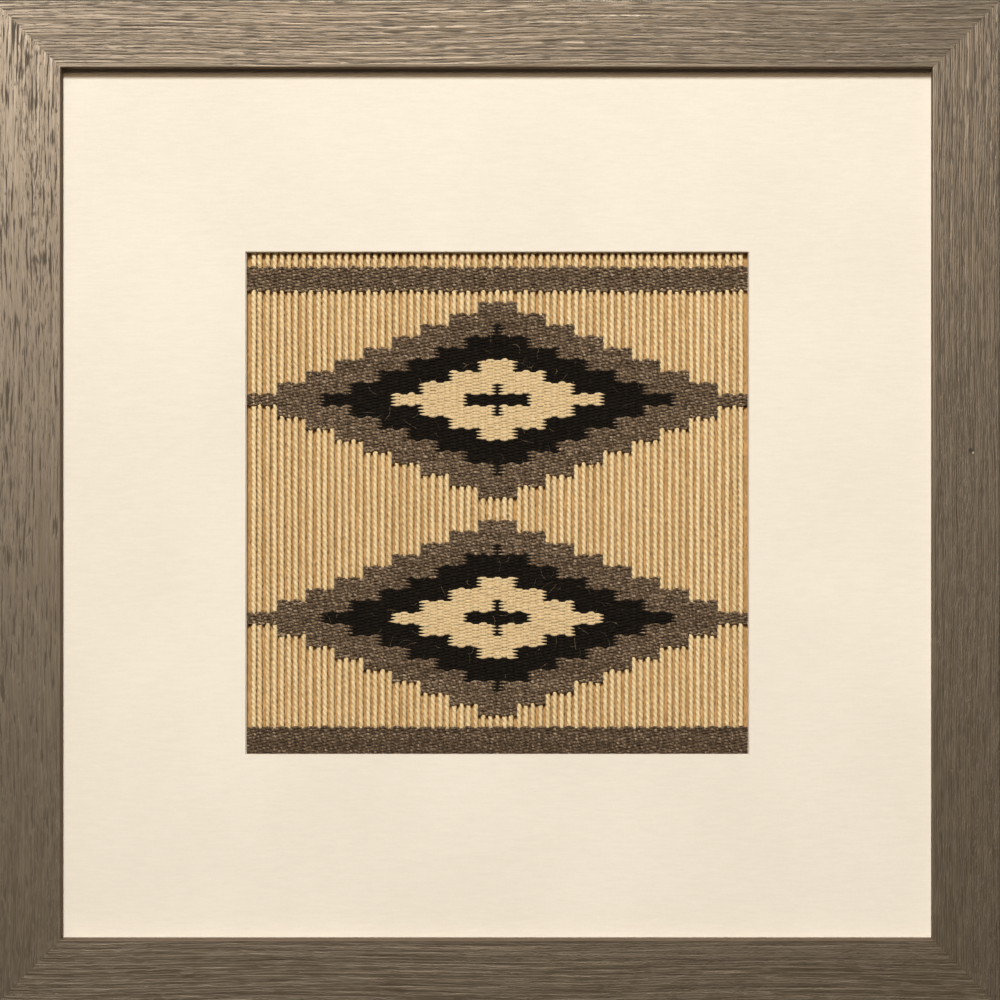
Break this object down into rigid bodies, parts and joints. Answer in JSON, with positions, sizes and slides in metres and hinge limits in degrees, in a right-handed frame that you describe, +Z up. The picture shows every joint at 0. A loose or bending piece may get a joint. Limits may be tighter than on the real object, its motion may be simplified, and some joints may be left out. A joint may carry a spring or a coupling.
{
  "type": "tapestry weaving in a picture frame",
  "caption": "Square wall-hung picture frame with a window mat, holding a small flat tapestry weaving with bare warp cords and stepped lozenges in natural wool.",
  "frame": {"origin": "middle of the top rail's back face, where the frame meets its wall hook", "axes": "+X across the picture to the viewer's right, +Y from the picture's face towards the wall, +Z up"},
  "size_m": [0.4, 0.022, 0.4],
  "materials": {
    "frame_wood": "taupe-grey foil on moulding, with an embossed open wood grain along each rail, satin",
    "mat_card": "cream mat card with a fine tooth, matt",
    "mount_board": "tan board, matt",
    "yarn": "natural wool weft in marled grey, black and cream over plied cream warp cord"
  },
  "bodies": {
    "root": {"rail_top": "frame_wood", "rail_right": "frame_wood", "rail_bottom": "frame_wood", "rail_left": "frame_wood", "window_mat": "mat_card", "mount_board": "mount_board", "weaving": "yarn"}
  },
  "joints": []
}
